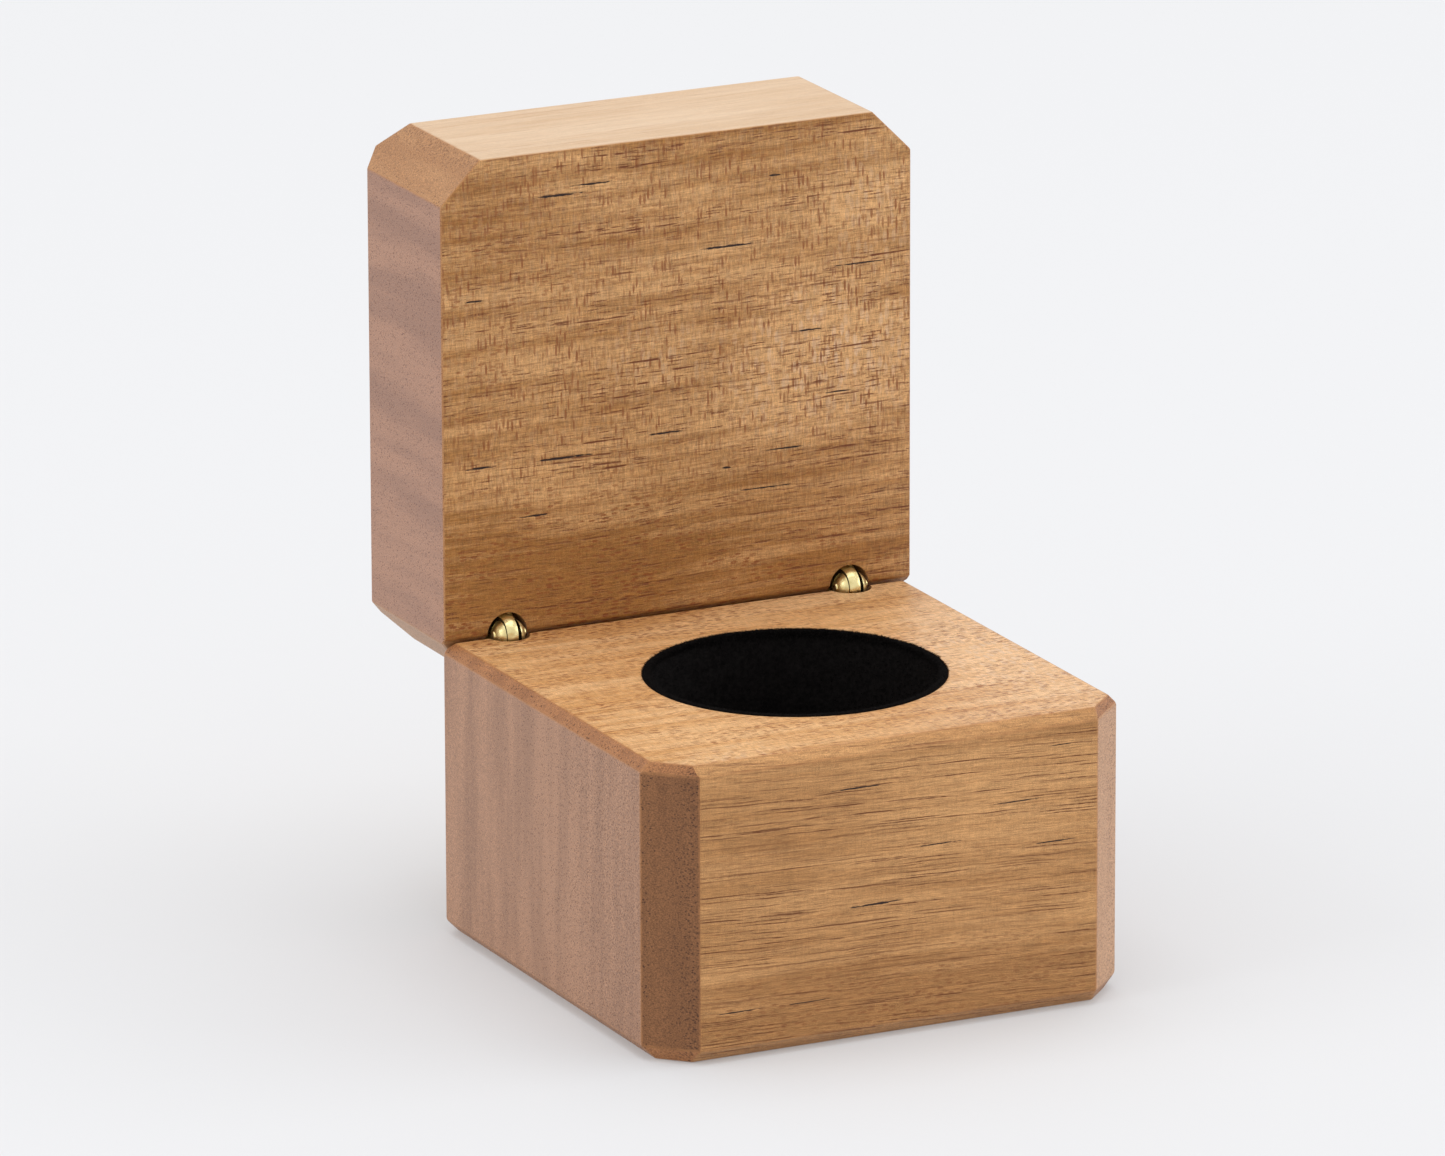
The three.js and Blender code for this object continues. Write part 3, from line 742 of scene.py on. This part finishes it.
def makeFibreTree():
    tree, given, out = nodeGroup("flockFibres", [
        ("Geometry", "NodeSocketGeometry", None), ("Length", "NodeSocketFloat", 0.0004),
        ("Thickness", "NodeSocketFloat", 0.00004), ("Rim Density", "NodeSocketFloat", 30e6),
        ("Wall Density", "NodeSocketFloat", 8e6), ("Rim Height", "NodeSocketFloat", 0.035),
        ("Rim Band", "NodeSocketFloat", 0.002), ("Lean", "NodeSocketFloat", 0.9),
        ("Seed", "NodeSocketInt", 1),
        ("Material", "NodeSocketMaterial", None),
    ], [("Geometry", "NodeSocketGeometry")], kind="GeometryNodeTree")
    height = addNode(tree, "ShaderNodeSeparateXYZ", {
        "Vector": tree.nodes.new("GeometryNodeInputPosition").outputs[0]}).outputs["Z"]
    start = calc(tree, "SUBTRACT", given["Rim Height"], given["Rim Band"])
    density = addNode(tree, "ShaderNodeMapRange", {
        "Value": height, "From Min": start, "From Max": given["Rim Height"],
        "To Min": given["Wall Density"], "To Max": given["Rim Density"]}).outputs["Result"]
    points = addNode(tree, "GeometryNodeDistributePointsOnFaces", {
        "Mesh": given["Geometry"], "Density": density, "Seed": given["Seed"]})
    fibre = addNode(tree, "GeometryNodeMeshCone", {
        "Vertices": 3, "Side Segments": 1, "Radius Top": 0.0, "Radius Bottom": given["Thickness"],
        "Depth": given["Length"]}, fill_type="NGON")
    wild = addNode(tree, "FunctionNodeRandomValue", {0: (-1.0, -1.0, -1.0), 1: (1.0, 1.0, 1.0),
                                                     "Seed": given["Seed"]}, data_type="FLOAT_VECTOR")
    pull = vecMath(tree, "SCALE", wild.outputs["Value"])
    tree.links.new(given["Lean"], pull.node.inputs["Scale"])
    heading = vecMath(tree, "ADD", points.outputs["Normal"], pull)
    turn = addNode(tree, "FunctionNodeAlignRotationToVector", {"Vector": heading}, axis="Z")
    scale = addNode(tree, "FunctionNodeRandomValue", {2: 0.45, 3: 1.15, "Seed": given["Seed"]},
                    data_type="FLOAT")
    placed = addNode(tree, "GeometryNodeInstanceOnPoints", {
        "Points": points.outputs["Points"], "Instance": fibre.outputs["Mesh"],
        "Rotation": turn.outputs["Rotation"], "Scale": scale.outputs[1]})
    solid = addNode(tree, "GeometryNodeRealizeInstances", {"Geometry": placed.outputs["Instances"]})
    dressed = addNode(tree, "GeometryNodeSetMaterial", {"Geometry": solid.outputs["Geometry"],
                                                        "Material": given["Material"]})
    tree.links.new(dressed.outputs["Geometry"], out["Geometry"])
    return tree


def growByTree(piece, tree, values):
    grower = piece.modifiers.new(tree.name, "NODES")
    grower.node_group = tree
    for socket in tree.interface.items_tree:
        if socket.item_type == "SOCKET" and socket.in_out == "INPUT" and socket.name in values:
            grower[socket.identifier] = values[socket.name]
    grown = plainMesh(piece)
    piece.modifiers.remove(grower)
    return grown


def latheMesh(name, profile, segments, centre=(0, 0, 0)):
    # a profile of (radius, height) turned about a vertical axis; it starts and ends on the axis
    shape = bmesh.new()
    rings = []
    for radius, height in profile:
        if radius < 1e-9:
            rings.append([shape.verts.new((centre[0], centre[1], centre[2] + height))])
            continue
        rings.append([shape.verts.new((centre[0] + radius * cos(2 * pi * i / segments),
                                       centre[1] + radius * sin(2 * pi * i / segments), centre[2] + height))
                      for i in range(segments)])
    for lower, upper in zip(rings, rings[1:]):
        for i in range(segments):
            j = (i + 1) % segments
            corners = [lower[i % len(lower)], lower[j % len(lower)],
                       upper[j % len(upper)], upper[i % len(upper)]]
            shape.faces.new(list(dict.fromkeys(corners)))
    bmesh.ops.recalc_face_normals(shape, faces=shape.faces)
    for face in shape.faces:
        face.smooth = True
    mesh = bpy.data.meshes.new(name)
    shape.to_mesh(mesh)
    shape.free()
    return mesh


def buildFlock(look, finish):
    low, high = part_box("flock_lining")
    axis = (low + high) / 2
    outer = baseBores[0][1] - look["toWall"]
    inner = outer - look["thickness"]
    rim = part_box("base_block")[1].z - look["belowRim"]
    floorTop, bottom = low.z + look["thickness"], low.z - look["backBelow"]
    bend, steps, rings = look["rimRound"], look["roundSteps"], look["floorRings"]
    profile = [(0, bottom), (outer, bottom), (outer, rim - bend)]
    for step in range(steps + 1):
        angle = pi * step / steps
        middle, half = (outer + inner) / 2, (outer - inner) / 2
        profile.append((middle + half * cos(angle), rim - bend + bend * sin(angle)))
    for row in range(1, look["rows"]):
        profile.append((inner, rim - bend + (floorTop + bend - rim + bend) * row / look["rows"]))
    for step in range(1, steps + 1):
        angle = pi / 2 * step / steps
        profile.append((inner - bend + bend * cos(angle), floorTop + bend - bend * sin(angle)))
    for ring in range(1, rings + 1):
        profile.append(((inner - bend) * (1 - ring / rings), floorTop))
    mesh = latheMesh("flockCup", profile, look["segments"], (axis.x, axis.y, 0))
    cup = newPiece("flockCup", mesh, finish)
    lumps = bpy.data.textures.new("flockLumps", "CLOUDS")
    lumps.noise_scale = look["lumpSize"]
    uneven = cup.modifiers.new("uneven", "DISPLACE")
    uneven.texture, uneven.strength, uneven.texture_coords = lumps, look["unevenness"], "LOCAL"
    cup.data = plainMesh(cup)
    cup.modifiers.clear()
    for vert in cup.data.vertices:  # its uneven back stays out of the wood
        across = vert.co.xy - axis.xy
        if across.length > outer:
            vert.co.xy = axis.xy + across * (outer / across.length)
        vert.co.z = max(vert.co.z, bottom)

    pile = newPiece("flockPile", cup.data.copy())
    shape = bmesh.new()
    shape.from_mesh(pile.data)
    bare = outer - look["bareBack"]
    hidden = [face for face in shape.faces
              if face.normal.z < -0.5 or (face.calc_center_median().xy - axis.xy).length > bare]
    bmesh.ops.delete(shape, geom=hidden, context="FACES")
    shape.to_mesh(pile.data)
    shape.free()
    pile.data = growByTree(pile, makeFibreTree(), {
        "Length": look["fibreLength"], "Thickness": look["fibreThickness"] / 2,
        "Rim Density": look["rimDensity"], "Wall Density": look["wallDensity"], "Rim Height": rim,
        "Rim Band": look["rimBand"], "Lean": look["lean"], "Seed": look["seed"], "Material": finish})
    start = rim - look["trimBelow"]
    room = look["pileTop"] - start
    for vert in pile.data.vertices:  # the tips are brushed down clear of the closed lid
        if vert.co.z > start:
            vert.co.z = start + room * (1 - exp((start - vert.co.z) / room))
        across = vert.co.xy - axis.xy
        if across.length > outer and vert.co.z < rim + look["overWood"]:
            vert.co.xy = axis.xy + across * (outer / across.length)
    return cup, pile


flockFinish = makeFlockFinish(flockCoat)
flockCup, flockPile = buildFlock(flockCoat, flockFinish)
for piece in (flockCup, flockPile):
    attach(piece, "base")
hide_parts("flock_lining")
print("flock laid:", len(flockPile.data.polygons), "fibre faces, top",
      round(1000 * max(vert.co.z for vert in flockPile.data.vertices), 2))


barrelHinge = {
    "segments": 96,
    "domeSteps": 20,
    "shoulder": 2.6 * mm,
    "endChamfer": 0.4 * mm,
    "grooves": 5,
    "grooveDepth": 0.14 * mm,
    "grooveWidth": 0.35 * mm,
    "slotWidth": 1.9 * mm,
    "tongueThickness": 1.3 * mm,
    "tongueOffset": -0.27 * mm,
    "knuckleSwell": 0.1 * mm,
    "pinRadius": 0.6 * mm,
    "forkPinFit": 0.01 * mm,
    "tonguePinFit": 0.1 * mm,
    "edgeRound": 0.05 * mm,
    "paintedShadeBeside": 0.4 * mm,  # slot faces this far beyond the slot's or tongue's sides get very dark brass, painted shade in the slits between the hinge parts
    "paintedShadeBelow": 0.2 * mm,
    "pinSegments": 48,
    "pinSteps": 6,
    "pinProud": 0.03 * mm,
    "pinCrown": 0.10 * mm,  # the riveted ends are crowned to the knuckle's round
}


def makeBrass(name, bright, dark, smoothest):
    material, tree, shader = newMaterial(name)
    coords = tree.nodes.new("ShaderNodeTexCoord").outputs["Object"]
    at = vecMath(tree, "MULTIPLY", coords, (1000.0, 1000.0, 1000.0))
    tarnish = ramp(tree, noiseAt(tree, at, (0.8, 0.8, 0.8), detail=3.0), 0.35, 0.7)
    shade = mixColour(tree, tarnish, bright, dark)
    tree.links.new(shade, shader.inputs["Base Color"])
    scratches = noiseAt(tree, at, (0.9, 0.05, 0.05), detail=2.0, roughness=0.7)
    scratched = calc(tree, "MULTIPLY_ADD", scratches, 0.14, smoothest)
    tree.links.new(calc(tree, "MULTIPLY_ADD", tarnish, 0.10, scratched), shader.inputs["Roughness"])
    dents = calc(tree, "MULTIPLY_ADD", noiseAt(tree, at, (0.9, 0.9, 0.9), detail=1.0), 1.0,
                 calc(tree, "MULTIPLY", scratches, 0.06))
    bump = addNode(tree, "ShaderNodeBump", {"Height": dents, "Strength": 0.5, "Distance": 0.0002})
    tree.links.new(bump.outputs["Normal"], shader.inputs["Normal"])
    shader.inputs["Metallic"].default_value = 1.0
    return material


def slabMesh(low, high):
    shape = bmesh.new()
    bmesh.ops.create_cube(shape, size=1.0)
    for vert in shape.verts:
        vert.co = [l + (c + 0.5) * (h - l) for c, l, h in zip(vert.co, low, high)]
    mesh = bpy.data.meshes.new("slab")
    shape.to_mesh(mesh)
    shape.free()
    return mesh


def cutAndRound(piece, cutters, roundBy):
    for cutter in cutters:
        cut = piece.modifiers.new("cut", "BOOLEAN")
        cut.operation, cut.object, cut.solver = "DIFFERENCE", cutter, "EXACT"
    edge = piece.modifiers.new("edge", "BEVEL")
    edge.limit_method, edge.angle_limit, edge.width, edge.segments = "ANGLE", radians(35), roundBy, 2
    edge.use_clamp_overlap = True
    made = plainMesh(piece)
    piece.modifiers.clear()
    piece.data = made
    made.shade_smooth()
    made.set_sharp_from_angle(angle=radians(40))
    for cutter in cutters:
        bpy.data.objects.remove(cutter)


def barrelProfile(look, radius, length, knuckle):
    profile = [(0, -length), (radius - look["endChamfer"], -length), (radius, -length + look["endChamfer"])]
    pitch = (length - look["shoulder"] - look["endChamfer"]) / (look["grooves"] + 1)
    for groove in range(look["grooves"]):
        middle = -length + look["endChamfer"] + pitch * (groove + 1)
        half = look["grooveWidth"] / 2
        profile += [(radius, middle - half), (radius - look["grooveDepth"], middle - half / 2),
                    (radius - look["grooveDepth"], middle + half / 2), (radius, middle + half)]
    wide = knuckle + look["knuckleSwell"]
    profile += [(radius, -look["shoulder"]), (wide, -look["shoulder"])]
    for step in range(look["domeSteps"] + 1):
        angle = pi / 2 * step / look["domeSteps"]
        profile.append((wide * cos(angle) if step < look["domeSteps"] else 0, knuckle * sin(angle)))
    return profile


def hingeHalf(name, look, side, isFork, finish, paintedSlotShade):
    low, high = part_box(f"hinge_{'base' if isFork else 'lid'}_barrel_{side}")
    pivot = Vector(frame["record"]["behaviour"]["joints"][0]["pos_m"])
    pivot.x = (low.x + high.x) / 2
    radius = (high.x - low.x) / 2
    knuckle = high.z - pivot.z if isFork else pivot.y - low.y
    length = pivot.z - low.z if isFork else high.y - pivot.y
    profile = barrelProfile(look, radius, length, knuckle)
    piece = newPiece(name, latheMesh(name, profile, look["segments"]), finish)
    reach = 2 * radius
    half = (look["slotWidth"] if isFork else look["tongueThickness"]) / 2
    if isFork:
        cutters = [slabMesh((-half, -reach, -look["shoulder"]), (half, reach, reach))]
    else:
        shift = look["tongueOffset"]
        cutters = [slabMesh((half + shift, -reach, -look["shoulder"]), (reach, reach, reach)),
                   slabMesh((-reach, -reach, -look["shoulder"]), (-half + shift, reach, reach))]
    hole = look["pinRadius"] + (look["forkPinFit"] if isFork else look["tonguePinFit"])
    drill = latheMesh("drill", [(0, -reach), (hole, -reach), (hole, reach), (0, reach)],
                      look["pinSegments"])
    drill.transform(Matrix.Rotation(pi / 2, 4, "Y"))
    cutAndRound(piece, [newPiece("scrap", mesh) for mesh in cutters + [drill]], look["edgeRound"])
    piece.data.materials.append(paintedSlotShade)
    # slot faces beside the slot or tongue take the very dark brass: painted shade in the slits
    for face in piece.data.polygons:
        beside = abs(face.center.x) < half + look["paintedShadeBeside"]
        above = face.center.z > -look["shoulder"] - look["paintedShadeBelow"]
        if abs(face.normal.x) > 0.97 and beside and above:
            face.material_index = 1
    if not isFork:
        piece.data.transform(Matrix.Rotation(pi / 2, 4, "X"))
    piece.data.transform(Matrix.Translation(pivot))
    return piece


def hingePin(name, look, side, finish):
    low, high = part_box(f"hinge_pin_{side}")
    middle = (low + high) / 2
    radius, crown, steps = look["pinRadius"], look["pinCrown"], look["pinSteps"]
    half = (high.x - low.x) / 2 + look["pinProud"]
    angles = [pi / 2 * step / steps for step in range(steps + 1)]
    profile = [(0, -half - crown)]
    profile += [(radius * sin(angle), -half - crown * cos(angle)) for angle in angles[1:]]
    profile += [(radius * cos(angle), half + crown * sin(angle)) for angle in angles[:-1]]
    profile += [(0, half + crown)]
    mesh = latheMesh(name, profile, look["pinSegments"])
    mesh.transform(Matrix.Translation(middle) @ Matrix.Rotation(pi / 2, 4, "Y"))
    return newPiece(name, mesh, finish)


brass = makeBrass("polishedBrass", colour(0.88, 0.75, 0.38), colour(0.74, 0.62, 0.29), 0.20)
# very dark brass for the slot faces: painted shade where the slits between fork and tongue fall dark
paintedSlotShadeBrass = makeBrass("paintedSlotShadeBrass", colour(0.10, 0.07, 0.03), colour(0.05, 0.035, 0.015), 0.5)
for side in sides:
    label = side.capitalize()
    fork = hingeHalf(f"hingeFork{label}", barrelHinge, side, True, brass, paintedSlotShadeBrass)
    tongue = hingeHalf(f"hingeTongue{label}", barrelHinge, side, False, brass, paintedSlotShadeBrass)
    pin = hingePin(f"hingePin{label}", barrelHinge, side, brass)
    for piece, body, node in ((fork, "base", f"hinge_base_barrel_{side}"),
                              (tongue, "lid", f"hinge_lid_barrel_{side}"),
                              (pin, "base", f"hinge_pin_{side}")):
        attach(piece, body)
        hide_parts(node)
print("hinges turned")
